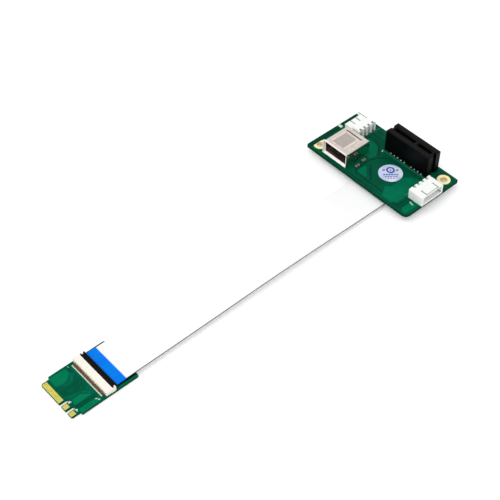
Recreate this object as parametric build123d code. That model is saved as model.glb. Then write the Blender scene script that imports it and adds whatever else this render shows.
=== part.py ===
from build123d import *
import math
import os

os.makedirs("parts", exist_ok=True)

# A small card with a gold edge and a riser board with an expansion slot, joined by a flat cable.
# Millimetres. +X runs from the card to the riser board, +Z is up, and z = 0 is the table.

# Layout
CARD_TO_RISER = 163.3  # tongue edge of the card to the near edge of the riser board
CABLE_FROM_EDGE = 22.4  # middle of the flat cable from the right edge of the riser board
STANDOFF = 2.4  # the long pin tails hold the riser board this far off the table
PLATING = 0.05  # gold and tin areas, flush with the solder mask round them
HAIR = 0.05  # assembly clearance between moulded and stamped pieces

# Small card
CARD_LENGTH = 30.0
CARD_WIDTH = 22.0
CARD_THICK = 0.8
CARD_CORNER_R = 0.8
TONGUE_LENGTH = 4.0
TONGUE_WIDTH = 19.85
TONGUE_CORNER_R = 0.5
BARE_EDGE = 2.6  # the solder mask stops this far from the tongue edge
KEY_WIDTH = 1.2
KEY_DEPTH = 3.5
KEYS = [(8, 15), (24, 31)]  # contact numbers that give way to the two key notches
LAST_FINGER = 75
FINGER_STEP = 0.25
FINGER_WIDTH = 0.35
FINGER_SETBACK = 0.1
FINGER_LENGTH = 2.2
NOTCH_R = 1.75
NOTCH_PAD_R = 2.75

# Riser board
RISER_WIDTH = 33.0
RISER_LENGTH = 60.5
RISER_THICK = 1.6
RISER_CORNER_R = 0.5
RISER_NEAR_CORNER_R = 2.5
HOLE_R = 1.6
HOLE_PAD_R = 3.0
LEFT_HOLE_INSET = (4.3, 4.1)  # from the near edge and the left edge
RIGHT_HOLE_INSET = (4.5, 4.4)  # from the far edge and the right edge
PIN_HOLE_R = 0.5
PIN_HOLE_SIDES = 8

# Expansion slot, measured from the middle of its foot
SLOT_U = 27.35
SLOT_V = 22.7
SLOT_LENGTH = 25.0
SLOT_WIDTH = 7.5
SLOT_HEIGHT = 11.25
SLOT_RIM_CHAMFER = 0.35
SLOT_END_GROOVE = 2.2
SLOT_END_GROOVE_DEPTH = 0.9
SLOT_FIRST_PIN = 3.0  # first contact from the left end of the housing
SLOT_PITCH = 1.0
SLOT_PINS_BEFORE_KEY = 11
SLOT_PINS_AFTER_KEY = 7
SLOT_KEY_STEP = 3.0  # contact to contact across the key bar
SLOT_KEY_BAR = 1.9
WELL_WIDTH = 1.8
WELL_DEPTH = 8.2
WELL_MARGIN = 0.83
WELL_CHAMFER = 0.55
GROOVE_WIDTH = 0.7
GROOVE_BACK = 2.4
GROOVE_HEADROOM = 1.35
FOOT_NOTCH_HEIGHT = 1.0
FOOT_INNER = 0.85
WEB_SIDE = 1.8
WEB_TOP = 2.0
CONTACT_WIDTH = 0.5
CONTACT_THICK = 0.3
OUTER_ROW = 3.15
INNER_ROW = 1.15
BEAM_OFFSET = 2.1
BEAM_FOOT = 0.65
BEAM_WAIST = 5.0
WIPE_OFFSET = 0.75
WIPE_HEIGHT = 8.3
TIP_OFFSET = 1.25
TIP_HEIGHT = 9.3
TAIL_BEND = 0.35

# Receptacle for a plug, measured from the middle of its front lip
USB_U = 1.5
USB_V = 45.0
USB_WIDTH = 13.2
USB_HEIGHT = 7.0
USB_LENGTH = 15.3
USB_SHEET = 0.3
USB_SKIRT = 0.7  # the floor of the shell stands this far off the board
USB_LIP_LENGTH = 1.1
USB_LIP_SIDE = 0.65
USB_LIP_RISE = 0.5
USB_LIP_DROP = 0.6
USB_REAR_R = 1.0
USB_SEAM_X = 12.7
USB_SEAM_WIDTH = 0.7
USB_SEAM_SPAN = 9.4
USB_SEAM_OFFSET = 0.5  # the seam and the panel sit a little left of the middle
USB_PANEL_START = 2.9
USB_PANEL_LENGTH = 8.4
USB_PANEL_SPAN = 8.4
USB_PANEL_OFFSET = 0.9
USB_PANEL_DEPTH = 0.1
USB_BEAD_WIDTH = 0.45
USB_BEAD_RISE = 0.12
USB_LEG_X = 7.2
USB_LEG_WIDTH = 2.4
USB_LEG_PROUD = 1.2
USB_TONGUE_START = 2.4
USB_TONGUE_HALF = 5.6
USB_TONGUE_LOW = 4.2
USB_TONGUE_THICK = 1.8
USB_BLOCK_START = 10.6
USB_CONTACT_ROWS = [-3.5, -1.0, 1.0, 3.5]
USB_CONTACT_START = 3.2
USB_CONTACT_WIDTH = 0.6
USB_CONTACT_THICK = 0.25
USB_TAIL_X = 12.5
USB_WINDOW_HALF = 4.4

# White pin headers, measured from the middle of the mating edge
HEADER_PITCH = 2.54
HEADER_HEIGHT = 5.0
HEADER_ROOF = 0.8
HEADER_FLOOR = 0.9
HEADER_SIDE = 0.9
HEADER_BACK = 2.6
HEADER_CHAMFER = 0.5
HEADER_NOTCH_WIDTH = 1.2
HEADER_NOTCH_DEPTH = 1.3
HEADER_SLIT_WIDTH = 0.5
HEADER_SLIT_LENGTH = 3.7
HEADER_STEP_LENGTH = 0.6
HEADER_STEP_DEPTH = 0.35
HEADER_PIN = 0.6
HEADER_PIN_HEIGHT = 2.5
HEADER_PIN_START = 1.2
HEADER_OVERHANG = 0.5
POWER_U = 15.5
POWER_PINS = 4
POWER_END = 2.7  # outermost pin to the end of the housing
POWER_DEPTH = 7.8
POWER_SLIT_SPAN = 7.1
AUX_U = 24.4
AUX_FROM_LEFT = 4.4  # mating edge of the small header from the left edge of the board
AUX_PINS = 4
AUX_END = 1.55
AUX_DEPTH = 9.2
AUX_FRONT_LENGTH = 4.7
AUX_FRONT_HEIGHT = 3.6
AUX_FRONT_INSET = 0.3
AUX_SIDE = 0.6
AUX_SLIT_SPAN = 3.3
AUX_SLIT_LENGTH = 3.0

# Solder
SOLDER_FOOT_R = 0.75
SOLDER_RISE = 0.8
SOLDER_TAPER = 15  # degrees that the sides lean in
SOLDER_SIDES = 6

# Flat cable
RIBBON_WIDTH = 19.5
RIBBON_THICK = 0.2
STIFFENER_THICK = 0.2
STIFFENER_LENGTH = 9.5
CABLE_FLAT_AT_CARD = 25.8
CABLE_FLAT_AT_RISER = 22.0
CABLE_BENDS = [(0.416, 2.0), (0.6, 2.5), (0.784, 2.15)]  # share of the span, and height
ARC_SHARE = 0.45  # share of the shorter run that each arc of the route takes up

# Flip-latch cable connectors, measured from the rear foot of the housing towards its mouth
CARD_ZIF_X = 15.2
RISER_ZIF_U = 9.9
ZIF_WAYS = 38
ZIF_PITCH = 0.5
ZIF_HEIGHT = 2.15
ZIF_SIDE = 0.85
ZIF_BODY = 3.05
ZIF_EAR_END = 4.5
ZIF_CABLE_HEIGHT = 1.0
ZIF_CABLE_STOP = 0.5
ZIF_REAR_WALL = 0.45
ZIF_REAR_CHAMFER = 0.3
ZIF_LEAD_IN = 0.25
ZIF_CABLE_GAP = 0.1
ZIF_CHANNEL_WIDTH = 0.3
ZIF_CHANNEL_FLOOR = 0.2
ZIF_CHANNEL_END = 4.1
ZIF_CONTACT_WIDTH = 0.2
ZIF_CONTACT_THICK = 0.2
ZIF_TAIL_END = -1.1
ZIF_TAIL_HEEL = -0.75
ZIF_KNEE = -0.4
ZIF_KNEE_HEIGHT = 0.45
ZIF_SPRING_TIP = 3.6
ZIF_TOE_LENGTH = 0.45
ZIF_TOE_WIDTH = 0.26
ANCHOR_START = 2.3
ANCHOR_LENGTH = 1.7
ANCHOR_THICK = 0.15
ANCHOR_PROUD = 0.2

# Latches
LATCH_AXIS_X = 3.5
LATCH_AXIS_Z = 1.75
LATCH_HALF_THICK = 0.4
LATCH_REACH = 1.9
LATCH_NOSE = 0.15
LATCH_GROOVE_X = 1.05
LATCH_GROOVE = 0.16
LATCH_TAB_START = 1.2
LATCH_TAB_OVERHANG = 0.75
LATCH_PIN_R = 0.3
LATCH_PIN_LENGTH = 0.55
LATCH_POCKET_DEPTH = 0.65

# Label and chip capacitors
LABEL_R = 5.4
LABEL_THICK = 0.1
LABEL_PLACE = (14.2, 22.5)
CHIP_LENGTH = 2.0
CHIP_WIDTH = 1.25
CHIP_HEIGHT = 0.9
CHIP_END = 0.4
CHIP_PLACES = [(6.4, 35.2), (11.0, 35.9)]

# Places worked out from the sizes above. The origin is under the middle of the whole object.
OVERALL_LENGTH = CARD_TO_RISER + RISER_WIDTH
CARD_X = -OVERALL_LENGTH / 2
RISER_X = CARD_X + CARD_TO_RISER
RISER_Y = -(RISER_LENGTH - HEADER_OVERHANG) / 2
RISER_TOP = STANDOFF + RISER_THICK
CABLE_Y = RISER_Y + CABLE_FROM_EDGE
PLUG_DEPTH = RISER_THICK + STANDOFF  # from the top of the riser board to the tips of the long tails
ZIF_INNER_HALF = RIBBON_WIDTH / 2 + ZIF_CABLE_GAP
ZIF_HALF = ZIF_INNER_HALF + ZIF_SIDE
ZIF_SLOT_LOW = ZIF_CABLE_HEIGHT - RIBBON_THICK / 2 - HAIR
ZIF_SLOT_HIGH = ZIF_CABLE_HEIGHT + RIBBON_THICK / 2 + STIFFENER_THICK + HAIR
USB_FLOOR = USB_SKIRT + USB_SHEET
USB_INNER_HALF = USB_WIDTH / 2 - USB_SHEET

# Route of the flat cable's middle line: distance from the card's tongue edge, and height.
ROUTE_START = (CARD_ZIF_X + ZIF_CABLE_STOP, CARD_THICK + ZIF_CABLE_HEIGHT)
ROUTE_END = (CARD_TO_RISER + RISER_ZIF_U - ZIF_CABLE_STOP, STANDOFF - ZIF_CABLE_HEIGHT)
ROUTE = [
    ROUTE_START,
    (ROUTE_START[0] + CABLE_FLAT_AT_CARD, ROUTE_START[1]),
    *[(CARD_TO_RISER * share, height) for share, height in CABLE_BENDS],
    (ROUTE_END[0] - CABLE_FLAT_AT_RISER, ROUTE_END[1]),
    ROUTE_END,
]


def block(low, high):
    """Box between two opposite corners."""
    size = [abs(b - a) for a, b in zip(low, high)]
    middle = [(a + b) / 2 for a, b in zip(low, high)]
    return Pos(*middle) * Box(*size)


def side_plane(x, y, z, facing=1):
    """Upright plane across the width: its first axis runs along facing * X, its second is +Z."""
    return Plane(origin=(x, y, z), x_dir=(facing, 0, 0), z_dir=(0, -facing, 0))


def slab(plane, outline, width):
    """Closed outline on a plane, carried half the width to each side."""
    return extrude(plane * Polygon(*outline, align=None), amount=width / 2, both=True)


def strip_outline(path, thickness):
    """Closed outline of a bent strip of even thickness along an open path, with mitred corners."""
    points = [Vector(*point) for point in path]
    runs = [(b - a).normalized() for a, b in zip(points, points[1:])]
    left = []
    right = []
    for i, point in enumerate(points):
        before = runs[max(i - 1, 0)]
        after = runs[min(i, len(runs) - 1)]
        tangent = (before + after).normalized()
        normal = Vector(-tangent.Y, tangent.X)
        reach = thickness / 2 / normal.dot(Vector(-after.Y, after.X))
        left.append(point + normal * reach)
        right.append(point - normal * reach)
    return [(p.X, p.Y) for p in left + right[::-1]]


def on_riser(u, v, z=0.0):
    """Place on the riser board: u from the near edge, v from the right edge, z above its top."""
    return Pos(RISER_X + u, RISER_Y + v, RISER_TOP + z)


def save(name, shapes):
    """Write one node as a group of its solids."""
    solids = [solid for shape in shapes for solid in shape.solids()]
    export_step(Compound(solids), f"parts/{name}.step")


# Small card

def finger_rows(first):
    """Contact numbers of one face of the edge, without those that the key notches take."""
    numbers = range(first, LAST_FINGER + 1, 2)
    return [n for n in numbers if not any(low <= n <= high for low, high in KEYS)]


def finger_y(number):
    return (number - (LAST_FINGER + 1) / 2) * FINGER_STEP


def card_outline():
    """Flat outline of the card, its tongue edge on x = 0 and its middle line on y = 0."""
    blade = Pos(TONGUE_LENGTH, 0) * Rectangle(
        CARD_LENGTH - TONGUE_LENGTH, CARD_WIDTH, align=(Align.MIN, Align.CENTER)
    )
    blade = fillet(blade.vertices().group_by(Axis.X)[-1], CARD_CORNER_R)
    tongue = Rectangle(2 * TONGUE_LENGTH, TONGUE_WIDTH, align=(Align.MIN, Align.CENTER))
    tongue = chamfer(tongue.vertices().group_by(Axis.X)[0], TONGUE_CORNER_R)
    outline = blade + tongue
    for low, high in KEYS:
        y = finger_y((low + high) / 2)
        reach = KEY_DEPTH - KEY_WIDTH / 2
        outline -= Pos(0, y) * Rectangle(2 * reach, KEY_WIDTH)
        outline -= Pos(reach, y) * Circle(KEY_WIDTH / 2)
    return outline - Pos(CARD_LENGTH, 0) * Circle(NOTCH_R)


def card_board():
    board = extrude(card_outline(), CARD_THICK)
    bare = Rectangle(2 * BARE_EDGE, CARD_WIDTH)
    top = Pos(0, 0, CARD_THICK - PLATING) * extrude(bare, PLATING)
    bottom = extrude(bare, PLATING)
    pads = [Pos(-CARD_X, -CABLE_Y, 0) * pad for pad in card_notch_pads()]
    return Pos(CARD_X, CABLE_Y, 0) * (board - top - bottom - pads)


def card_fingers(first, z):
    """Gold strips of one face of the tongue."""
    strip = Box(FINGER_LENGTH, FINGER_WIDTH, PLATING, align=(Align.MIN, Align.CENTER, Align.MIN))
    x = CARD_X + FINGER_SETBACK
    return [Pos(x, CABLE_Y + finger_y(n), z) * strip for n in finger_rows(first)]


def card_notch_pads():
    """Half rings round the screw notch, let into both faces."""
    ring = Circle(NOTCH_PAD_R) - Circle(NOTCH_R)
    half = ring & Pos(-NOTCH_PAD_R, 0) * Rectangle(2 * NOTCH_PAD_R, 2 * NOTCH_PAD_R)
    pad = extrude(half, PLATING)
    x = CARD_X + CARD_LENGTH
    return [Pos(x, CABLE_Y, z) * pad for z in (0, CARD_THICK - PLATING)]


# Riser board

def hole_places():
    left = (LEFT_HOLE_INSET[0], RISER_LENGTH - LEFT_HOLE_INSET[1])
    right = (RISER_WIDTH - RIGHT_HOLE_INSET[0], RIGHT_HOLE_INSET[1])
    return [left, right]


def riser_board():
    """Drilled board: mounting holes, a hole for every tail and a slot for each receptacle leg."""
    outline = Rectangle(RISER_WIDTH, RISER_LENGTH, align=(Align.MIN, Align.MIN))
    corners = outline.vertices().sort_by_distance((0, 0, 0))
    outline = fillet(corners[0], RISER_NEAR_CORNER_R)
    sharp = outline.vertices().filter_by(lambda p: p.X > RISER_WIDTH / 2 or p.Y > RISER_LENGTH / 2)
    outline = fillet(sharp, RISER_CORNER_R)
    for u, v in hole_places():
        outline -= Pos(u, v) * Circle(HOLE_R)
    tails = slot_tail_places() + usb_tail_places() + header_tail_places()
    holes = [Pos(u, v) * RegularPolygon(PIN_HOLE_R, PIN_HOLE_SIDES) for u, v in tails]
    legs = [Pos(u, v) * Rectangle(USB_LEG_WIDTH + 0.4, USB_SHEET + 0.4) for u, v in usb_leg_places()]
    outline -= holes + legs
    return on_riser(0, 0, -RISER_THICK) * extrude(outline, RISER_THICK) - riser_hole_pads()


def riser_hole_pads():
    """Gold rings round both mounting holes, let into both faces."""
    ring = extrude(Circle(HOLE_PAD_R) - Circle(HOLE_R), PLATING)
    levels = (-RISER_THICK, -PLATING)
    return [on_riser(u, v, z) * ring for u, v in hole_places() for z in levels]


# Expansion slot

def slot_stations():
    """Place of each contact along the slot, and whether its tail is in the outer row."""
    first = SLOT_LENGTH / 2 - SLOT_FIRST_PIN
    after = first - (SLOT_PINS_BEFORE_KEY - 1) * SLOT_PITCH - SLOT_KEY_STEP
    before_key = [first - i * SLOT_PITCH for i in range(SLOT_PINS_BEFORE_KEY)]
    after_key = [after - i * SLOT_PITCH for i in range(SLOT_PINS_AFTER_KEY)]
    return [(y, number % 2 == 0) for number, y in enumerate(before_key + after_key, start=1)]


def tail_offset(outer):
    return OUTER_ROW if outer else INNER_ROW


def slot_tail_places():
    sides = (-1, 1)
    rows = slot_stations()
    return [(SLOT_U + s * tail_offset(outer), SLOT_V + y) for s in sides for y, outer in rows]


def well_spans():
    """Low and high end of the two stretches of the card well."""
    ys = [y for y, _ in slot_stations()]
    last_before = ys[SLOT_PINS_BEFORE_KEY - 1]
    key_middle = last_before - SLOT_KEY_STEP / 2
    top = (key_middle + SLOT_KEY_BAR / 2, ys[0] + WELL_MARGIN)
    bottom = (ys[-1] - WELL_MARGIN, key_middle - SLOT_KEY_BAR / 2)
    return [top, bottom]


def groove_outline(outer):
    """Section of a contact's chamber, from the well wall out, down to the foot of the housing."""
    wall = WELL_WIDTH / 2 - HAIR
    roof = SLOT_HEIGHT - GROOVE_HEADROOM
    well_floor = SLOT_HEIGHT - WELL_DEPTH
    below = -HAIR
    if outer:
        outside = SLOT_WIDTH / 2 + HAIR
        foot = [(GROOVE_BACK, FOOT_NOTCH_HEIGHT), (outside, FOOT_NOTCH_HEIGHT), (outside, below)]
        foot += [(WEB_SIDE, below)]
    else:
        foot = [(GROOVE_BACK, below), (FOOT_INNER, below), (FOOT_INNER, FOOT_NOTCH_HEIGHT)]
        foot += [(WEB_SIDE, FOOT_NOTCH_HEIGHT)]
    return [(wall, roof), (GROOVE_BACK, roof)] + foot + [(WEB_SIDE, WEB_TOP), (wall, well_floor)]


def slot_housing():
    """Moulded body: keyed well with a sloped rim, a chamber for each contact, notched foot."""
    body = Box(SLOT_WIDTH, SLOT_LENGTH, SLOT_HEIGHT, align=(Align.CENTER, Align.CENTER, Align.MIN))
    body = chamfer(body.edges().group_by(Axis.Z)[-1], SLOT_RIM_CHAMFER)
    floor = SLOT_HEIGHT - WELL_DEPTH
    half = WELL_WIDTH / 2
    for low, high in well_spans():
        body -= block((-half, low, floor), (half, high, SLOT_HEIGHT + 1))
    mouth = body.faces().sort_by(Axis.Z)[-1].inner_wires()
    body = chamfer([edge for wire in mouth for edge in wire.edges()], WELL_CHAMFER)
    cuts = []
    for side in (-1, 1):
        for y, outer in slot_stations():
            cuts.append(slab(side_plane(0, y, 0, side), groove_outline(outer), GROOVE_WIDTH))
        end = side * SLOT_LENGTH / 2
        cuts.append(Pos(0, end, SLOT_HEIGHT / 2) * Box(
            SLOT_END_GROOVE, 2 * SLOT_END_GROOVE_DEPTH, SLOT_HEIGHT + 1
        ))
    return on_riser(SLOT_U, SLOT_V) * (body - cuts)


def slot_contact_path(outer):
    """Centre line of a contact, from the tip of its tail to its lead-in."""
    tail = tail_offset(outer)
    return [
        (tail, -PLUG_DEPTH), (tail, TAIL_BEND), (BEAM_OFFSET, BEAM_FOOT), (BEAM_OFFSET, BEAM_WAIST),
        (WIPE_OFFSET, WIPE_HEIGHT), (TIP_OFFSET, TIP_HEIGHT),
    ]


def slot_contacts():
    contacts = []
    for side in (-1, 1):
        for y, outer in slot_stations():
            outline = strip_outline(slot_contact_path(outer), CONTACT_THICK)
            contacts.append(slab(side_plane(0, y, 0, side), outline, CONTACT_WIDTH))
    return [on_riser(SLOT_U, SLOT_V) * contact for contact in contacts]


# Receptacle

def usb_tail_places():
    return [(USB_U + USB_TAIL_X, USB_V + y) for y in USB_CONTACT_ROWS]


def usb_leg_places():
    reach = (USB_WIDTH - USB_SHEET) / 2
    return [(USB_U + USB_LEG_X, USB_V + side * reach) for side in (-1, 1)]


def lip_section(x, side, rise, drop, sheet):
    """Upright rectangle across the mouth, grown by the lip's flare and cut back by the sheet."""
    low = USB_SKIRT - drop + sheet
    high = USB_HEIGHT + rise - sheet
    width = USB_WIDTH + 2 * side - 2 * sheet
    plane = Plane(origin=(x, 0, (low + high) / 2), x_dir=(0, 1, 0), z_dir=(1, 0, 0))
    return plane * Rectangle(width, high - low)


def flared_lip():
    """The sheet opens outwards on all four sides of the mouth."""
    wide = (USB_LIP_SIDE, USB_LIP_RISE, USB_LIP_DROP)
    outside = loft([lip_section(0, *wide, 0), lip_section(USB_LIP_LENGTH, 0, 0, 0, 0)])
    inside = loft([
        lip_section(0, *wide, USB_SHEET), lip_section(USB_LIP_LENGTH, 0, 0, 0, USB_SHEET)
    ])
    return outside - inside


def usb_shell():
    """Folded sheet: body with a skirt and legs, seam, pressed panel with beads, flared mouth."""
    half = USB_WIDTH / 2
    rear = USB_LENGTH - USB_SHEET
    body = block((USB_LIP_LENGTH, -half, 0), (USB_LENGTH, half, USB_HEIGHT))
    body = fillet(body.edges().filter_by(Axis.Y).sort_by(Axis.X)[-2:].sort_by(Axis.Z)[-1], USB_REAR_R)
    hollow = block(
        (0, -USB_INNER_HALF, USB_FLOOR), (rear, USB_INNER_HALF, USB_HEIGHT - USB_SHEET)
    )
    rear_edge = hollow.edges().filter_by(Axis.Y).sort_by(Axis.X)[-2:].sort_by(Axis.Z)[-1]
    hollow = fillet(rear_edge, USB_REAR_R - USB_SHEET)
    under = block((0, -USB_INNER_HALF, -1), (rear, USB_INNER_HALF, USB_SKIRT))
    seam = Pos(USB_SEAM_X, USB_SEAM_OFFSET, USB_HEIGHT) * Box(USB_SEAM_WIDTH, USB_SEAM_SPAN, 2 * USB_FLOOR)
    panel_middle = USB_PANEL_START + USB_PANEL_LENGTH / 2
    panel = Pos(panel_middle, USB_PANEL_OFFSET, USB_HEIGHT) * Box(
        USB_PANEL_LENGTH, USB_PANEL_SPAN, 2 * USB_PANEL_DEPTH
    )
    window = Pos(USB_TAIL_X, 0, USB_SKIRT) * Box(
        2 * USB_CONTACT_WIDTH, 2 * USB_WINDOW_HALF, 2 * USB_FLOOR
    )
    shell = body - hollow - under - seam - panel - window + flared_lip()
    for side in (-1, 1):
        bead_y = USB_PANEL_OFFSET + side * (USB_PANEL_SPAN + USB_BEAD_WIDTH) / 2
        shell += Pos(panel_middle, bead_y, USB_HEIGHT) * Box(
            USB_PANEL_LENGTH, USB_BEAD_WIDTH, 2 * USB_BEAD_RISE
        )
        leg = Pos(USB_LEG_X, side * (half - USB_SHEET / 2), HAIR) * Box(
            USB_LEG_WIDTH, USB_SHEET, RISER_THICK + USB_LEG_PROUD + HAIR,
            align=(Align.CENTER, Align.CENTER, Align.MAX),
        )
        shell += chamfer(leg.edges().filter_by(Axis.Y).group_by(Axis.Z)[0], USB_LEG_WIDTH / 4)
    return on_riser(USB_U, USB_V) * shell


def usb_contact_path():
    """Centre line of a contact: along the underside of the tongue, then down to its tail."""
    level = USB_TONGUE_LOW - USB_CONTACT_THICK / 2
    tip = -(RISER_THICK + USB_LEG_PROUD)
    return [(USB_CONTACT_START, level), (USB_TAIL_X, level), (USB_TAIL_X, tip)]


def usb_contacts():
    outline = strip_outline(usb_contact_path(), USB_CONTACT_THICK)
    return [
        on_riser(USB_U, USB_V) * slab(side_plane(0, y, 0), outline, USB_CONTACT_WIDTH)
        for y in USB_CONTACT_ROWS
    ]


def usb_insulator():
    """Tongue on a rear block that is slotted for the contacts."""
    top = USB_HEIGHT - USB_SHEET - HAIR
    low = USB_FLOOR + HAIR
    rear = USB_LENGTH - USB_SHEET - HAIR
    high_tongue = USB_TONGUE_LOW + USB_TONGUE_THICK
    nose = USB_TONGUE_THICK / 4
    tongue = [
        (USB_TONGUE_START + nose, USB_TONGUE_LOW), (USB_BLOCK_START, USB_TONGUE_LOW),
        (USB_BLOCK_START, high_tongue), (USB_TONGUE_START + nose, high_tongue),
        (USB_TONGUE_START, high_tongue - nose), (USB_TONGUE_START, USB_TONGUE_LOW + nose),
    ]
    base = [
        (USB_BLOCK_START, low), (rear, low), (rear, top - USB_REAR_R), (rear - USB_REAR_R, top),
        (USB_BLOCK_START, top),
    ]
    body = slab(side_plane(0, 0, 0), base, 2 * (USB_INNER_HALF - HAIR))
    body += slab(side_plane(0, 0, 0), tongue, 2 * USB_TONGUE_HALF)
    slot_end = USB_TAIL_X + USB_CONTACT_THICK / 2 + HAIR
    width = USB_CONTACT_WIDTH / 2 + HAIR
    cuts = [
        block((USB_BLOCK_START - 1, y - width, 0), (slot_end, y + width, USB_TONGUE_LOW))
        for y in USB_CONTACT_ROWS
    ]
    return on_riser(USB_U, USB_V) * (body - cuts)


# Pin headers

def header_pin_rows(pins):
    """Places of the pins across a header."""
    return [(i - (pins - 1) / 2) * HEADER_PITCH for i in range(pins)]


def header_tail(depth):
    """Tails stand in the notches at the back, this far from the mating edge."""
    return depth - HEADER_NOTCH_DEPTH / 2


def power_place():
    """The mating edge of the power header stands a little past the right edge of the board."""
    return on_riser(POWER_U, -HEADER_OVERHANG)


def aux_place():
    return on_riser(AUX_U, RISER_LENGTH - AUX_FROM_LEFT) * Rot(0, 0, 180)


def header_tail_places():
    power_v = header_tail(POWER_DEPTH) - HEADER_OVERHANG
    aux_v = RISER_LENGTH - AUX_FROM_LEFT - header_tail(AUX_DEPTH)
    power = [(POWER_U + x, power_v) for x in header_pin_rows(POWER_PINS)]
    aux = [(AUX_U + x, aux_v) for x in header_pin_rows(AUX_PINS)]
    return power + aux


def header_body(pins, end, depth):
    """Block with chamfered shoulders, notched at the back where the pins come out."""
    half = (pins - 1) * HEADER_PITCH / 2 + end
    body = block((-half, 0, 0), (half, depth, HEADER_HEIGHT))
    body = chamfer(body.edges().filter_by(Axis.Y).group_by(Axis.Z)[-1], HEADER_CHAMFER)
    for x in header_pin_rows(pins):
        body -= Pos(x, depth, HEADER_HEIGHT / 2) * Box(
            HEADER_NOTCH_WIDTH, 2 * HEADER_NOTCH_DEPTH, HEADER_HEIGHT + 1
        )
        body -= Pos(x, depth, HEADER_PIN_HEIGHT) * Box(HEADER_PIN, 2 * HEADER_BACK, HEADER_PIN)
    return body


def header_cavity(inner, depth, height):
    """Room inside the shroud for the plug."""
    return block((-inner, -1, HEADER_FLOOR), (inner, depth - HEADER_BACK, height - HEADER_ROOF))


def header_slits(span, length, height):
    """Two slits in the roof, open at the mating edge."""
    slit = Box(HEADER_SLIT_WIDTH, 2 * length, 2 * HEADER_ROOF)
    return [Pos(side * span / 2, 0, height) * slit for side in (-1, 1)]


def power_housing():
    """Shroud of even height with a shallow step between the slits."""
    half = (POWER_PINS - 1) * HEADER_PITCH / 2 + POWER_END
    step = block(
        (-POWER_SLIT_SPAN / 2, -1, HEADER_HEIGHT - HEADER_STEP_DEPTH),
        (POWER_SLIT_SPAN / 2, HEADER_STEP_LENGTH, HEADER_HEIGHT + 1),
    )
    slits = header_slits(POWER_SLIT_SPAN, HEADER_SLIT_LENGTH, HEADER_HEIGHT)
    body = header_body(POWER_PINS, POWER_END, POWER_DEPTH)
    return body - slits - step - header_cavity(half - HEADER_SIDE, POWER_DEPTH, HEADER_HEIGHT)


def aux_housing():
    """Shroud with a lower and narrower front."""
    half = (AUX_PINS - 1) * HEADER_PITCH / 2 + AUX_END
    front = half - AUX_FRONT_INSET
    over = block((-half - 1, -1, AUX_FRONT_HEIGHT), (half + 1, AUX_FRONT_LENGTH, HEADER_HEIGHT + 1))
    sides = [
        block((side * front, -1, -1), (side * (half + 1), AUX_FRONT_LENGTH, HEADER_HEIGHT + 1))
        for side in (-1, 1)
    ]
    slits = header_slits(AUX_SLIT_SPAN, AUX_SLIT_LENGTH, AUX_FRONT_HEIGHT)
    body = header_body(AUX_PINS, AUX_END, AUX_DEPTH)
    return body - over - sides - slits - header_cavity(front - AUX_SIDE, AUX_DEPTH, AUX_FRONT_HEIGHT)


def header_pins(pins, depth):
    """Square pins, bent down at the back."""
    path = [
        (HEADER_PIN_START, HEADER_PIN_HEIGHT), (header_tail(depth), HEADER_PIN_HEIGHT),
        (header_tail(depth), -PLUG_DEPTH),
    ]
    outline = strip_outline(path, HEADER_PIN)
    along = Plane(origin=(0, 0, 0), x_dir=(0, 1, 0), z_dir=(1, 0, 0))
    return [Pos(x, 0, 0) * slab(along, outline, HEADER_PIN) for x in header_pin_rows(pins)]


# Solder

def solder_joint(tail_x, tail_y):
    """Faceted cone hanging under the board round a tail of the given section."""
    cone = extrude(RegularPolygon(SOLDER_FOOT_R, SOLDER_SIDES), SOLDER_RISE, taper=SOLDER_TAPER)
    return Rot(180, 0, 0) * cone - Box(tail_x, tail_y, 3 * SOLDER_RISE)


def solder_joints(places, tail_x, tail_y):
    joint = solder_joint(tail_x, tail_y)
    return [on_riser(u, v, -RISER_THICK) * joint for u, v in places]


def leg_solder():
    """Longer fillets round the two legs of the receptacle's shell."""
    foot = Rectangle(USB_LEG_WIDTH + SOLDER_FOOT_R, USB_SHEET + SOLDER_FOOT_R)
    lump = Rot(180, 0, 0) * extrude(foot, SOLDER_RISE, taper=SOLDER_TAPER)
    lump -= Box(USB_LEG_WIDTH, USB_SHEET, 3 * SOLDER_RISE)
    return [on_riser(u, v, -RISER_THICK) * lump for u, v in usb_leg_places()]


# Flip-latch connectors

def card_zif_place():
    return Pos(CARD_X + CARD_ZIF_X, CABLE_Y, CARD_THICK)


def riser_zif_place():
    """Under the riser board, upside down, with its mouth towards the card."""
    return Pos(RISER_X + RISER_ZIF_U, CABLE_Y, STANDOFF) * Rot(0, 180, 0)


def zif_rows():
    return [(i - (ZIF_WAYS - 1) / 2) * ZIF_PITCH for i in range(ZIF_WAYS)]


def zif_anchor(side, extra):
    """Flat tab under an ear, with room round it where it is used as a cut."""
    y = side * (ZIF_HALF + ANCHOR_PROUD - (ZIF_SIDE + ANCHOR_PROUD) / 2)
    x = ANCHOR_START + ANCHOR_LENGTH / 2
    return Pos(x, y, 0) * Box(
        ANCHOR_LENGTH + 2 * extra, ZIF_SIDE + ANCHOR_PROUD, ANCHOR_THICK,
        align=(Align.CENTER, Align.CENTER, Align.MIN),
    )


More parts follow.
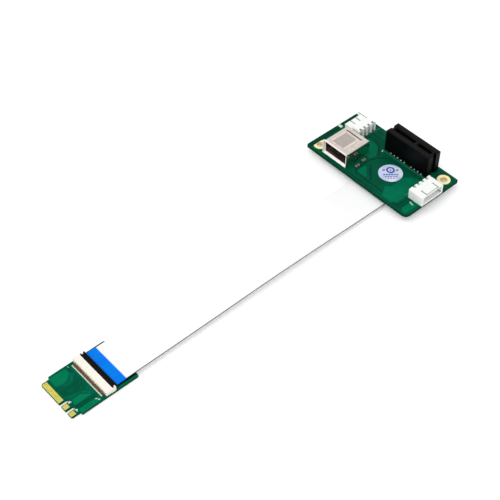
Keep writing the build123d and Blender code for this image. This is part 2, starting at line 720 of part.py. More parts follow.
def zif_housing():
    """Low body with a cable mouth, comb of contact channels, and ears that carry the latch."""
    crown = [(0, ZIF_HEIGHT - ZIF_REAR_CHAMFER), (ZIF_REAR_CHAMFER, ZIF_HEIGHT)]
    throat = [
        (ZIF_BODY, ZIF_HEIGHT), (ZIF_BODY, ZIF_SLOT_HIGH), (ZIF_REAR_WALL, ZIF_SLOT_HIGH),
        (ZIF_REAR_WALL, ZIF_SLOT_LOW), (ZIF_EAR_END - ZIF_LEAD_IN, ZIF_SLOT_LOW),
        (ZIF_EAR_END, ZIF_SLOT_LOW - ZIF_LEAD_IN), (ZIF_EAR_END, 0),
    ]
    ear = [(ZIF_EAR_END, ZIF_HEIGHT), (ZIF_EAR_END, 0)]
    body = slab(side_plane(0, 0, 0), [(0, 0)] + crown + throat, 2 * ZIF_INNER_HALF)
    cuts = []
    for side in (-1, 1):
        ear_y = side * (ZIF_INNER_HALF + ZIF_SIDE / 2)
        body += slab(side_plane(0, ear_y, 0), [(0, 0)] + crown + ear, ZIF_SIDE)
        pocket_half = LATCH_PIN_R + HAIR
        pocket_y = side * ZIF_INNER_HALF
        seat = Pos(LATCH_AXIS_X, pocket_y, LATCH_AXIS_Z)
        cuts.append(seat * Rot(90, 0, 0) * Cylinder(pocket_half, 2 * LATCH_POCKET_DEPTH))
        cuts.append(seat * Box(
            2 * pocket_half, 2 * LATCH_POCKET_DEPTH, ZIF_HEIGHT,
            align=(Align.CENTER, Align.CENTER, Align.MIN),
        ))
        cuts.append(zif_anchor(side, HAIR))
    half = ZIF_CHANNEL_WIDTH / 2
    for y in zif_rows():
        cuts.append(block((-1, y - half, ZIF_CHANNEL_FLOOR), (ZIF_CHANNEL_END, y + half, ZIF_SLOT_LOW)))
    return body - cuts


def zif_contacts():
    """Sprung contacts: tail on the board, knee behind the housing, tip under the cable."""
    tip_height = ZIF_SLOT_LOW - ZIF_CONTACT_THICK / 2 + HAIR / 5
    path = [
        (ZIF_TAIL_END, ZIF_CONTACT_THICK / 2), (ZIF_TAIL_HEEL, ZIF_CONTACT_THICK / 2),
        (ZIF_KNEE, ZIF_KNEE_HEIGHT), (ZIF_SPRING_TIP, tip_height),
    ]
    outline = strip_outline(path, ZIF_CONTACT_THICK)
    return [slab(side_plane(0, y, 0), outline, ZIF_CONTACT_WIDTH) for y in zif_rows()]


def zif_solder():
    """Wedge of solder at the toe of each tail."""
    toe = ZIF_TAIL_END - ZIF_TOE_LENGTH
    outline = [(toe, 0), (ZIF_TAIL_END, 0), (ZIF_TAIL_END, ZIF_CONTACT_THICK)]
    return [slab(side_plane(0, y, 0), outline, ZIF_TOE_WIDTH) for y in zif_rows()]


def zif_anchors():
    return [zif_anchor(side, 0) for side in (-1, 1)]


def zif_latch():
    """Flip latch: bar with a round hinge end, a groove, end tabs and two pivot pins."""
    thick = LATCH_HALF_THICK
    groove = [
        (LATCH_GROOVE_X + LATCH_GROOVE, thick), (LATCH_GROOVE_X, thick - LATCH_GROOVE),
        (LATCH_GROOVE_X - LATCH_GROOVE, thick),
    ]
    nose = [
        (LATCH_REACH - LATCH_NOSE, -thick), (LATCH_REACH, -thick + LATCH_NOSE),
        (LATCH_REACH, thick - LATCH_NOSE), (LATCH_REACH - LATCH_NOSE, thick),
    ]
    plane = side_plane(LATCH_AXIS_X, 0, LATCH_AXIS_Z)
    section = Polygon(*([(0, -thick)] + nose + groove + [(0, thick)]), align=None) + Circle(thick)
    bar_half = ZIF_INNER_HALF - 2 * HAIR
    latch = extrude(plane * section, amount=bar_half, both=True)
    tab = [(LATCH_TAB_START, -thick)] + nose + [(LATCH_TAB_START, thick)]
    latch += slab(plane, tab, 2 * (bar_half + LATCH_TAB_OVERHANG))
    pins = Cylinder(LATCH_PIN_R, 2 * (bar_half + LATCH_PIN_LENGTH))
    return latch + Pos(LATCH_AXIS_X, 0, LATCH_AXIS_Z) * Rot(90, 0, 0) * pins


# Flat cable

def corner_radii(points):
    """Largest even arc at each corner: a share of the shorter run over the tangent of half the turn."""
    corners = [Vector(*p) for p in points]
    radii = []
    for before, corner, after in zip(corners, corners[1:], corners[2:]):
        inward = corner - before
        outward = after - corner
        half_turn = math.radians(inward.get_angle(outward)) / 2
        radii.append(ARC_SHARE * min(inward.length, outward.length) / math.tan(half_turn))
    return radii


def ribbon():
    """Flat band swept along straight runs that tangent arcs join."""
    radii = corner_radii(ROUTE)
    print("cable arcs", [round(radius) for radius in radii])
    path = side_plane(CARD_X, CABLE_Y, 0) * FilletPolyline(*ROUTE, radius=radii)
    print("cable length", round(path.length, 2))
    start = Plane(origin=path @ 0, x_dir=(0, 1, 0), z_dir=path % 0)
    band = sweep(start * Rectangle(RIBBON_WIDTH, RIBBON_THICK), path=path)
    print("cable volume over section times length", band.volume / (
        RIBBON_WIDTH * RIBBON_THICK * path.length
    ))
    return band


def stiffener(place):
    """Stiff film on the face of the cable that looks away from the board."""
    half = RIBBON_WIDTH / 2
    low = ZIF_CABLE_HEIGHT + RIBBON_THICK / 2
    far = ZIF_CABLE_STOP + STIFFENER_LENGTH
    return place * block((ZIF_CABLE_STOP, -half, low), (far, half, low + STIFFENER_THICK))


# Label and chip capacitors

def label():
    return on_riser(*LABEL_PLACE) * extrude(Circle(LABEL_R), LABEL_THICK)


def capacitor_bodies():
    body = Box(
        CHIP_LENGTH - 2 * CHIP_END, CHIP_WIDTH - 2 * PLATING, CHIP_HEIGHT - PLATING,
        align=(Align.CENTER, Align.CENTER, Align.MIN),
    )
    return [on_riser(u, v) * body for u, v in CHIP_PLACES]


def capacitor_ends():
    cap = Box(CHIP_END, CHIP_WIDTH, CHIP_HEIGHT, align=(Align.CENTER, Align.CENTER, Align.MIN))
    cap = chamfer(cap.edges().filter_by(Axis.X), 2 * PLATING)
    reach = (CHIP_LENGTH - CHIP_END) / 2
    return [on_riser(u + side * reach, v) * cap for u, v in CHIP_PLACES for side in (-1, 1)]


def save_connector(prefix, place):
    """Write the five nodes of one flip-latch connector."""
    save(f"{prefix}_zif_housing", [place * zif_housing()])
    save(f"{prefix}_zif_contacts", [place * contact for contact in zif_contacts()])
    save(f"{prefix}_zif_solder", [place * wedge for wedge in zif_solder()])
    save(f"{prefix}_zif_anchors", [place * tab for tab in zif_anchors()])
    save(f"{prefix}_zif_latch", [place * zif_latch()])


def main():
    save("card_board", [card_board()])
    save("card_fingers_top", card_fingers(1, CARD_THICK - PLATING))
    save("card_fingers_bottom", card_fingers(2, 0))
    save("card_notch_pads", card_notch_pads())
    save_connector("card", card_zif_place())
    save("riser_board", [riser_board()])
    save("riser_hole_pads", riser_hole_pads())
    save_connector("riser", riser_zif_place())
    save("slot_housing", [slot_housing()])
    save("slot_contacts", slot_contacts())
    save("slot_solder", solder_joints(slot_tail_places(), CONTACT_THICK, CONTACT_WIDTH))
    save("usb_shell", [usb_shell()])
    save("usb_insulator", [usb_insulator()])
    save("usb_contacts", usb_contacts())
    usb_joints = solder_joints(usb_tail_places(), USB_CONTACT_THICK, USB_CONTACT_WIDTH)
    save("usb_solder", usb_joints + leg_solder())
    save("power_housing", [power_place() * power_housing()])
    save("power_pins", [power_place() * pin for pin in header_pins(POWER_PINS, POWER_DEPTH)])
    save("aux_housing", [aux_place() * aux_housing()])
    save("aux_pins", [aux_place() * pin for pin in header_pins(AUX_PINS, AUX_DEPTH)])
    save("header_solder", solder_joints(header_tail_places(), HEADER_PIN, HEADER_PIN))
    save("round_label", [label()])
    save("capacitor_bodies", capacitor_bodies())
    save("capacitor_ends", capacitor_ends())
    save("cable_ribbon", [ribbon()])
    save("card_stiffener", [stiffener(card_zif_place())])
    save("riser_stiffener", [stiffener(riser_zif_place())])


main()
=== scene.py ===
"""Looks of a riser card: a small edge card and a drilled board with connectors, joined by a flat cable.

Every length is in metres in the frame of the solids. A colour is written as 8-bit display values and
turned into light values where a finish uses it.
"""

import logging
import math
from dataclasses import dataclass, field
from enum import Enum

import bmesh
import bpy
import numpy as np
from bpy.types import Material, Node, NodeTree, Object
from bpy.types import NodeSocket as Socket
from mathutils import Matrix

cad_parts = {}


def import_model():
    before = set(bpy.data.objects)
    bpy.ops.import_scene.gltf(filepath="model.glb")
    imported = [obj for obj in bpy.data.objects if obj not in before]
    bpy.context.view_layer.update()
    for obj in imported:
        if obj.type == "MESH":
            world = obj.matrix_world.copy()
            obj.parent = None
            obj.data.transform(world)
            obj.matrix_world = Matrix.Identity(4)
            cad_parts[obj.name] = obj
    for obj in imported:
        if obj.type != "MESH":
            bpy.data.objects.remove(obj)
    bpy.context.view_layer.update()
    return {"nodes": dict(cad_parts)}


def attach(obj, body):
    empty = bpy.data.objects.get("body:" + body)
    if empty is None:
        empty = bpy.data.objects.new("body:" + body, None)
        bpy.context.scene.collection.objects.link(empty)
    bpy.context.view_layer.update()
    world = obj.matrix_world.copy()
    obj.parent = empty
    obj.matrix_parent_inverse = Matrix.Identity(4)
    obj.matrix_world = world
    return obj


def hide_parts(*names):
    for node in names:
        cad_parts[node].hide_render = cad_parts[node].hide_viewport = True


log = logging.getLogger("riser_card")

MM = 0.001
ROOT_BODY = "riser"
WHITE_LIGHT = (1.0, 1.0, 1.0, 1.0)
EVEN = (1.0, 1.0, 1.0)
STEEP = 0.5  # a face is parallel to an axis if its normal's share along it is smaller
NOISE_MIDDLE = (0.35, 0.65)
MIX_COLOURS, MIX_RESULT = (6, 7), 2  # the Mix node's colour sockets
Display = tuple[int, int, int]
Pair = tuple[float, float]
Triple = tuple[float, float, float]
Path = tuple[Pair, ...]


def light(colour: Display) -> tuple[float, float, float, float]:
    """Turns a display colour into light values that cover fully.

    Each channel c in 0..1 becomes c / 12.92 below 0.04045, and ((c + 0.055) / 1.055) to the power 2.4
    above it.

    Args:
        colour: red, green and blue, from 0 to 255.

    Returns:
        Red, green and blue as light values, and a cover of 1.
    """
    share = np.asarray(colour, float) / 255
    high = ((share + 0.055) / 1.055) ** 2.4
    return (*np.where(share < 0.04045, share / 12.92, high).tolist(), 1.0)


# Shader graphs


class Nodes:
    """Node tree with short calls for what the finishes and the surroundings use."""

    def __init__(self, tree: NodeTree) -> None:
        """Takes a tree and empties it."""
        self.tree = tree
        tree.nodes.clear()

    def node(self, kind: str, **settings: object) -> Node:
        """Adds a node.

        Args:
            kind: the node's type name.
            settings: properties of the node to set.

        Returns:
            The new node.
        """
        made = self.tree.nodes.new(kind)
        for key, value in settings.items():
            setattr(made, key, value)
        return made

    def link(self, start: Socket, end: Socket) -> None:
        """Joins an output to an input."""
        self.tree.links.new(start, end)

    def feed(self, socket: Socket, value: object) -> None:
        """Gives an input a link or a plain value.

        Args:
            socket: the input.
            value: an output socket to link, or a number or colour to set.
        """
        if isinstance(value, Socket):
            self.link(value, socket)
        else:
            socket.default_value = value

    def math(self, operation: str, *values: object) -> Socket:
        """One sum on up to three values.

        Args:
            operation: the Math node's operation.
            values: sockets or numbers, in the node's order.

        Returns:
            The result.
        """
        node = self.node("ShaderNodeMath", operation=operation)
        for socket, value in zip(node.inputs, values):
            self.feed(socket, value)
        return node.outputs[0]


class Graph(Nodes):
    """Node tree of one material."""

    def __init__(self, name: str) -> None:
        """Starts a material that holds one Principled shader.

        Args:
            name: the material's name.
        """
        self.material = bpy.data.materials.new(name)
        self.material.use_nodes = True
        super().__init__(self.material.node_tree)
        output = self.node("ShaderNodeOutputMaterial")
        self.shader = self.node("ShaderNodeBsdfPrincipled")
        self.link(self.shader.outputs["BSDF"], output.inputs["Surface"])

    def set(self, **values: object) -> None:
        """Sets inputs of the Principled shader; an underscore in a key stands for a space."""
        for key, value in values.items():
            self.feed(self.shader.inputs[key.replace("_", " ")], value)

    def place(self) -> Socket:
        """Object coordinates, which are metres in the frame of the solids."""
        return self.node("ShaderNodeTexCoord").outputs["Object"]

    def parts(self, vector: Socket) -> list[Socket]:
        """Splits a vector into X, Y and Z."""
        node = self.node("ShaderNodeSeparateXYZ")
        self.link(vector, node.inputs[0])
        return list(node.outputs)

    def facing(self, axis: int) -> Socket:
        """Size of the true normal's share along an axis: 0 for X, 1 for Y, 2 for Z."""
        normal = self.node("ShaderNodeNewGeometry").outputs["True Normal"]
        return self.math("ABSOLUTE", self.parts(normal)[axis])

    def upright(self) -> Socket:
        """1 on upright faces, whose normal's share along Z is small, and 0 elsewhere."""
        return self.math("LESS_THAN", self.facing(2), STEEP)

    def noise(self, grain: float, detail: float = 2.0, stretch: Triple = EVEN) -> Socket:
        """Noise whose features are about one grain wide.

        Args:
            grain: width of a feature, in metres.
            detail: number of finer layers.
            stretch: how many times longer a feature is along each axis.

        Returns:
            The noise value, from 0 to 1.
        """
        mapping = self.node("ShaderNodeMapping")
        mapping.inputs["Scale"].default_value = [1 / (grain * s) for s in stretch]
        self.link(self.place(), mapping.inputs["Vector"])
        noise = self.node("ShaderNodeTexNoise")
        noise.inputs["Scale"].default_value = 1.0
        noise.inputs["Detail"].default_value = detail
        self.link(mapping.outputs["Vector"], noise.inputs["Vector"])
        return noise.outputs["Fac"]

    def spread(self, value: Socket, low: float = 0.0, high: float = 1.0) -> Socket:
        """Maps the middle of a noise onto a range and holds it there.

        Args:
            value: the noise.
            low: result at the middle's lower end.
            high: result at its upper end.

        Returns:
            The mapped value.
        """
        node = self.node("ShaderNodeMapRange")
        keys = ("From Min", "From Max", "To Min", "To Max")
        for key, number in zip(keys, (*NOISE_MIDDLE, low, high)):
            node.inputs[key].default_value = number
        self.link(value, node.inputs["Value"])
        return node.outputs["Result"]

    def mix(self, share: Socket, first: Display | Socket, second: Display | Socket) -> Socket:
        """Colour between two colours.

        Args:
            share: 0 for the first colour, 1 for the second.
            first: display colour or socket.
            second: display colour or socket.

        Returns:
            The mixed colour.
        """
        node = self.node("ShaderNodeMix", data_type="RGBA")
        self.link(share, node.inputs[0])
        for index, colour in zip(MIX_COLOURS, (first, second)):
            self.feed(node.inputs[index], light(colour) if isinstance(colour, tuple) else colour)
        return node.outputs[MIX_RESULT]

    def rounded(self, radius: float) -> Socket:
        """Normal that rounds the edges of a mesh by the given radius."""
        node = self.node("ShaderNodeBevel", samples=4)
        node.inputs["Radius"].default_value = radius
        return node.outputs["Normal"]

    def bump(self, height: Socket, depth: float, normal: Socket | None = None) -> Socket:
        """Normal that a height pattern tilts.

        Args:
            height: the pattern, from 0 to 1.
            depth: its height in metres.
            normal: the normal to start from.

        Returns:
            The tilted normal.
        """
        node = self.node("ShaderNodeBump")
        node.inputs["Strength"].default_value = 1.0
        node.inputs["Distance"].default_value = depth
        self.link(height, node.inputs["Height"])
        if normal is not None:
            self.link(normal, node.inputs["Normal"])
        return node.outputs["Normal"]


# Finishes


@dataclass(frozen=True)
class Plastic:
    """Moulded plastic: slight mottling, fine spark-eroded grain and softly rounded edges."""

    colour: Display
    shade: Display
    roughness: float = 0.45
    unevenness: float = 0.06
    edge: float = 0.06 * MM
    grain: float = 0.09 * MM
    depth: float = 0.004 * MM
    mottle: float = 1.6 * MM
    subsurface: float = 0.0
    softness: Triple = (0.4 * MM, 0.35 * MM, 0.3 * MM)
    gloss: float = 0.3
    # colour of the painted shade in slits and corners, if any
    recess_shade: Display | None = None
    reach: float = 1.0 * MM

    def fill(self, graph: Graph) -> None:
        """Fills a material's node tree.

        Where a recess_shade colour is given, painted shade turns the face to it in slits and corners, by
        the share of the directions that the piece's own surface blocks within reach.
        """
        tone = graph.spread(graph.noise(self.mottle, 3.0))
        face = graph.mix(tone, self.colour, self.shade)
        # painted shade: in slits and corners the face darkens towards the recess shade colour
        if self.recess_shade:
            openness = graph.node("ShaderNodeAmbientOcclusion", samples=32, only_local=True)
            openness.inputs["Distance"].default_value = self.reach
            face = graph.mix(openness.outputs["AO"], self.recess_shade, face)
        normal = graph.bump(graph.noise(self.grain), self.depth, graph.rounded(self.edge))
        smooth, rough = self.roughness - self.unevenness, self.roughness + self.unevenness
        graph.set(Base_Color=face, Normal=normal, Subsurface_Weight=self.subsurface)
        graph.set(Roughness=graph.spread(graph.noise(self.mottle / 3), smooth, rough))
        graph.set(Specular_IOR_Level=self.gloss, Subsurface_Radius=self.softness, Subsurface_Scale=1.0)


@dataclass(frozen=True)
class Metal:
    """Plated or rolled metal: brushed along one axis, with cloudy patches and dulled spots.

    Below the dip's height it has been dipped in solder.
    """

    colour: Display
    shade: Display
    roughness: float = 0.3
    polish: float = 0.07
    dulling: float = 0.09
    edge: float = 0.05 * MM
    brush: Triple = (12.0, 1.0, 1.0)
    grain: float = 0.06 * MM
    depth: float = 0.0015 * MM
    cloud: float = 1.4 * MM
    cloudiness: float = 0.8
    evenness: float = 0.5
    dip: float = 0.0
    dipped: Display = (238, 240, 238)

    def fill(self, graph: Graph) -> None:
        """Fills a material's node tree."""
        brushed = graph.noise(self.grain, 2.0, self.brush)
        cloud = graph.noise(self.cloud, 4.0)
        clouded = graph.spread(cloud, 0.0, self.cloudiness)
        tone = graph.math("MULTIPLY", clouded, graph.spread(brushed, self.evenness))
        face = graph.mix(tone, self.colour, self.shade)
        if self.dip:
            below = graph.math("LESS_THAN", graph.parts(graph.place())[2], self.dip)
            face = graph.mix(below, face, self.dipped)
        graph.set(Base_Color=face, Normal=graph.bump(brushed, self.depth, graph.rounded(self.edge)))
        smooth, rough = self.roughness - self.polish, self.roughness + self.dulling
        graph.set(Roughness=graph.spread(cloud, smooth, rough), Metallic=1.0)


@dataclass(frozen=True)
class Shell:
    """Nickel-plated sheet: brushed, darker in the pressed panel, with painted highlights at beads, mouth
    and folds.
    """

    colour: Display = (226, 215, 207)
    shade: Display = (208, 197, 189)
    panel: Display = (172, 165, 158)
    # pale colour of the painted highlight on the two beads
    bead_highlight: Display = (238, 224, 216)
    # pale colour of the painted highlight at the mouth and on the upper folds of the walls
    lip_highlight: Display = (252, 245, 240)
    middle: Pair = (73.75 * MM, 15.9 * MM)
    half: float = 4.2 * MM
    bead_width: float = 0.9 * MM
    panel_share: float = 0.8
    top: float = 10.7 * MM
    lip_end: float = 67.7 * MM
    fold: float = 10.5 * MM
    edge: float = 0.2 * MM
    grain: float = 0.06 * MM
    brush: Triple = (1.0, 14.0, 1.0)
    depth: float = 0.0015 * MM
    cloud: float = 1.4 * MM
    roughness: Pair = (0.3, 0.45)
    wall_polish: float = 0.2
    # share of metal that the painted highlight gives up
    lip_glare: float = 0.75

    def inside(self, graph: Graph, place: list[Socket]) -> tuple[Socket, Socket]:
        """Finds the pressed panel and the bands that hold its beads.

        The panel is where the place lies within half its side from its middle both ways, and above
        its height. The bands are bead_width wide, inside its two ends across the sheet.

        Args:
            graph: the graph to build in.
            place: X, Y and Z.

        Returns:
            1 on the panel and 0 elsewhere, and the same for the bands.
        """
        along, across = (
            graph.math("ABSOLUTE", graph.math("SUBTRACT", value, centre))
            for value, centre in zip(place, self.middle)
        )
        within = graph.math("LESS_THAN", graph.math("MAXIMUM", along, across), self.half)
        panel = graph.math("MULTIPLY", within, graph.math("GREATER_THAN", place[2], self.top))
        return panel, graph.math("GREATER_THAN", across, self.half - self.bead_width)

    def fill(self, graph: Graph) -> None:
        """Fills a material's node tree.

        The upright walls are smoother and mirror the board. The mouth's edge is the sheet before the given
        place along X. It and the upper folds of the walls get a painted highlight, pale and less metallic.
        """
        place = graph.parts(graph.place())
        panel, band = self.inside(graph, place)
        brushed = graph.noise(self.grain, 2.0, self.brush)
        cloud = graph.noise(self.cloud, 4.0)
        sheet = graph.mix(graph.spread(cloud), self.colour, self.shade)
        # painted highlight: the beads' bands get the pale bead colour
        pressed = graph.mix(band, self.panel, self.bead_highlight)
        face = graph.mix(graph.math("MULTIPLY", panel, self.panel_share), sheet, pressed)
        upright = graph.upright()
        # painted highlight: the mouth's edge and the upper folds of the walls turn pale and less metallic
        lip_highlight = graph.math("LESS_THAN", place[0], self.lip_end)
        fold_highlight = graph.math("MULTIPLY", upright, graph.math("GREATER_THAN", place[2], self.fold))
        bright = graph.math("MAXIMUM", lip_highlight, fold_highlight)
        dull = graph.spread(cloud, *self.roughness)
        graph.set(Base_Color=graph.mix(bright, face, self.lip_highlight))
        graph.set(Normal=graph.bump(brushed, self.depth, graph.rounded(self.edge)))
        graph.set(Metallic=graph.math("MULTIPLY_ADD", bright, -self.lip_glare, 1.0))
        graph.set(Roughness=graph.math("MULTIPLY_ADD", upright, -self.wall_polish, dull))


@dataclass(frozen=True)
class SolderMask:
    """Glossy lacquer over copper and glass weave; the sawn sides are painted darker, as shade, over their
    layers.
    """

    colour: Display
    shade: Display
    # colour of the sawn sides, darkened as painted shade
    side: Display
    weave: float = 0.5 * MM
    depth: float = 0.0012 * MM
    patch: float = 5.5 * MM
    layer: float = 0.12 * MM
    layer_stretch: Triple = (6.0, 6.0, 1.0)
    edge: float = 0.05 * MM
    roughness: float = 0.28
    sawn_roughness: float = 0.4
    gloss: float = 0.02

    def fill(self, graph: Graph) -> None:
        """Fills a material's node tree.

        The weave is (sin(2 pi X / weave) * sin(2 pi Y / weave) + 1) / 2. The sides add the sawn
        roughness to the lacquer's.
        """
        turns = 2 * math.pi / self.weave
        x, y, _ = graph.parts(graph.place())
        along, across = (graph.math("SINE", graph.math("MULTIPLY", value, turns)) for value in (x, y))
        weave = graph.math("MULTIPLY_ADD", graph.math("MULTIPLY", along, across), 0.5, 0.5)
        patches = graph.spread(graph.noise(self.patch, 3.0))
        face = graph.mix(patches, self.colour, self.shade)
        layers = graph.noise(self.layer, 2.0, self.layer_stretch)
        # painted shade: the sawn sides get the dark side colour, streaked with the board's layers
        shaded_laminate = graph.mix(layers, self.side, self.shade)
        upright = graph.upright()
        graph.set(Base_Color=graph.mix(upright, face, shaded_laminate))
        graph.set(Roughness=graph.math("MULTIPLY_ADD", upright, self.sawn_roughness, self.roughness))
        graph.set(Normal=graph.bump(weave, self.depth, graph.rounded(self.edge)))
        graph.set(Specular_IOR_Level=self.gloss)


@dataclass(frozen=True)
class Film:
    """Plastic film: smooth, with a faint drawn grain along the cable."""

    colour: Display
    shade: Display
    grain: float = 0.25 * MM
    drawn: Triple = (40.0, 1.0, 1.0)
    cloud: float = 3 * MM
    cloud_stretch: Triple = (3.0, 1.0, 1.0)
    roughness: Pair = (0.25, 0.38)
    depth: float = 0.002 * MM
    gloss: float = 0.05

    def fill(self, graph: Graph) -> None:
        """Fills a material's node tree."""
        drawn = graph.noise(self.grain, 2.0, self.drawn)
        tone = graph.spread(graph.noise(self.cloud, 3.0, self.cloud_stretch))
        graph.set(Base_Color=graph.mix(tone, self.colour, self.shade))
        graph.set(Roughness=graph.spread(drawn, *self.roughness), Normal=graph.bump(drawn, self.depth))
        graph.set(Specular_IOR_Level=self.gloss)


@dataclass(frozen=True)
class RibbonFilm:
    """White laminated film: the flat conductors inside show as faint grey lines; its edges carry painted
    shade.
    """

    colour: Display = (254, 254, 254)
    line: Display = (243, 244, 246)
    # dark colour of the edge faces: painted shade
    edge: Display = (30, 31, 34)
    # grey of the painted shade along the near edge
    shade_stripe: Display = (98, 100, 104)
    stripe_share: float = 0.016
    ways: int = 38
    cloud: float = 6 * MM
    strength: Pair = (0.3, 0.6)
    depth: float = 0.006 * MM
    roughness: float = 0.34
    gloss: float = 0.3

    def fill(self, graph: Graph) -> None:
        """Fills a material's node tree.

        V of the piece's own map runs across the cable from 0 to 1. The lines are
        (cos(2 pi V ways) + 1) / 2. A grey band of painted shade runs along the near edge, where V is under
        stripe_share. The edge faces, which face along Y, get a dark painted shade.
        """
        across = graph.parts(graph.node("ShaderNodeUVMap", uv_map="UVMap").outputs["UV"])[1]
        wave = graph.math("COSINE", graph.math("MULTIPLY", across, 2 * math.pi * self.ways))
        lines = graph.math("MULTIPLY_ADD", wave, 0.5, 0.5)
        faint = graph.math("MULTIPLY", lines, graph.spread(graph.noise(self.cloud), *self.strength))
        # painted shade: a grey band along the near edge, and dark edge faces along Y
        in_shade_stripe = graph.math("LESS_THAN", across, self.stripe_share)
        shaded_cut = graph.math("GREATER_THAN", graph.facing(1), STEEP)
        film = graph.mix(faint, self.colour, self.line)
        film = graph.mix(in_shade_stripe, film, self.shade_stripe)
        graph.set(Base_Color=graph.mix(shaded_cut, film, self.edge), Normal=graph.bump(lines, self.depth))
        graph.set(Roughness=self.roughness, Specular_IOR_Level=self.gloss)


@dataclass(frozen=True)
class Paper:
    """Coated label paper: pale, with a cool tint that deepens to one side and a fibrous grain."""

    colour: Display = (226, 233, 250)
    shade: Display = (186, 200, 240)
    cloud: float = 4.5 * MM
    fibre: float = 0.08 * MM
    depth: float = 0.003 * MM
    roughness: float = 0.5

    def fill(self, graph: Graph) -> None:
        """Fills a material's node tree."""
        tone = graph.spread(graph.noise(self.cloud, 1.0))
        graph.set(Base_Color=graph.mix(tone, self.colour, self.shade))
        graph.set(Roughness=self.roughness, Normal=graph.bump(graph.noise(self.fibre, 3.0), self.depth))


class Finish(Enum):
    """Finishes of this object's pieces."""

    # each board finish's third colour is its sawn sides' colour, darkened as painted shade
    BOARD = SolderMask((0, 98, 70), (0, 88, 62), (16, 56, 36))
    DEEP_BOARD = SolderMask((0, 88, 62), (0, 78, 55), (12, 46, 30))
    DEEP_POUR = SolderMask((0, 113, 79), (0, 104, 73), (0, 88, 60))
    TRACK = SolderMask((0, 66, 48), (0, 58, 42), (0, 54, 38))
    POUR = SolderMask((0, 122, 84), (0, 114, 78), (0, 96, 66))
    # painted shade: the card's board where it lies in shade beside and under the ribbon
    SHADED = SolderMask((0, 34, 26), (0, 28, 20), (0, 24, 18))
    GOLD = Metal((248, 234, 118), (224, 210, 92), 0.36)
    RING = Metal((255, 242, 186), (246, 226, 160), 0.4, brush=EVEN)
    SPRING = Metal((168, 128, 96), (128, 92, 66), 0.36)
    # painted shade: the slot's contacts are darkened to the gloom of its well; below the dip they are
    # dipped in solder
    SHADED_TINNED = Metal((96, 78, 62), (70, 56, 44), 0.4, dip=5.4 * MM)
    TIN = Metal((236, 240, 236), (206, 212, 208), 0.34, brush=EVEN, cloud=0.4 * MM)
    # the pads' pale solder, made matte full white as a painted highlight
    PALE_TIN_HIGHLIGHT = Plastic((253, 254, 253), (240, 243, 241), 0.5, gloss=0.4)
    # painted shade: the capacitors' tinned ends, darkened for the shadow they sit in
    SHADED_TIN = Metal((168, 178, 173), (132, 142, 137), 0.5, brush=EVEN, cloud=0.4 * MM)
    # the barrels' gold, made pale and matte as painted reflected light, so the holes read light
    PLATED_WALL_REFLECTION = Plastic((253, 232, 182), (244, 218, 164), 0.4)
    NICKEL = Shell()
    CREAM = Plastic((255, 249, 237), (247, 240, 227), 0.45, subsurface=0.15)
    BLACK = Plastic((4, 4, 5), (2, 2, 3), 0.42, edge=0.16 * MM, gloss=0.1)
    # the white housings get painted shade in their slits, gaps and mouths
    WHITE = Plastic((250, 252, 249), (245, 248, 244), 0.4, subsurface=0.15, recess_shade=(84, 86, 78))
    RIBBON = RibbonFilm()
    BLUE = Film((0, 130, 246), (0, 120, 236))
    PAPER = Paper()
    # the capacitors' own brown, darkened as painted shade
    CERAMIC = Plastic((126, 100, 76), (102, 80, 60), 0.5)
    SILK = Plastic((226, 240, 232), (200, 220, 210), 0.6)
    FAINT_SILK = Plastic((92, 140, 120), (70, 122, 102), 0.6)
    BLUE_INK = Plastic((24, 52, 168), (18, 42, 150), 0.5)
    VIOLET_INK = Plastic((104, 88, 160), (88, 74, 148), 0.5)

    def material(self) -> Material:
        """The material of this finish, built once."""
        name = f"{self.name.lower()}_finish"
        if name not in bpy.data.materials:
            self.value.fill(Graph(name))
        return bpy.data.materials[name]


# Surfaces


Shape = tuple[np.ndarray, list[list[int]]]
FOOT, CREST = 0.5, 0.4  # reach of a raised line to each side, as a share of its width


def surface_object(name: str, shape: Shape, material: Material) -> Object:
    """Puts closed surfaces into a mesh object at the origin, with every face turned outwards.

    Args:
        name: the object's name.
        shape: vertex places, one row each, and the vertex numbers of each face.
        material: the material that the whole piece gets.

    Returns:
        The new object.
    """
    points, faces = shape
    mesh = bpy.data.meshes.new(name)
    mesh.from_pydata(points.tolist(), [], faces)
    work = bmesh.new()
    work.from_mesh(mesh)
    bmesh.ops.recalc_face_normals(work, faces=work.faces)
    work.to_mesh(mesh)
    work.free()
    mesh.materials.append(material)
    made = bpy.data.objects.new(name, mesh)
    bpy.context.scene.collection.objects.link(made)
    return made


def riding_piece(name: str, shape: Shape, finish: Finish) -> Object:
    """Makes an added piece that rides on the root body.

    Args:
        name: the piece's name.
        shape: its surfaces.
        finish: its finish.

    Returns:
        The new object.
    """
    made = surface_object(name, shape, finish.material())
    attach(made, ROOT_BODY)
    return made


def joined(shapes: list[Shape]) -> Shape:
    """Several closed surfaces as one; each one's vertex numbers move up by the vertices before it."""
    starts = np.cumsum([0] + [len(points) for points, _ in shapes])
    faces = [(np.asarray(face) + start).tolist() for start, (_, own) in zip(starts, shapes) for face in own]
    return np.concatenate([points for points, _ in shapes]), faces


def tube_faces(rings: int, sides: int, closed: bool = False) -> list[list[int]]:
    """Faces of a closed profile carried along a path.

    Ring i and side j give the quad (i, j), (i + 1, j), (i + 1, j + 1), (i, j + 1), with j + 1 wrapped.
    An open path gets a face at both ends. On a closed one i + 1 wraps too.

    Args:
        rings: number of profiles along the path.
        sides: number of points in the profile.
        closed: whether the path closes on itself.

    Returns:
        The vertex numbers of each face.
    """
    here = np.arange(rings if closed else rings - 1)[:, None] * sides
    following = (here + sides) % (rings * sides)
    side = np.arange(sides)
    beside = (side + 1) % sides
    quads = np.stack([here + side, following + side, following + beside, here + beside], -1)
    ends = [list(range(sides)), list(range((rings - 1) * sides, rings * sides))]
    return quads.reshape(-1, 4).tolist() + ([] if closed else ends)


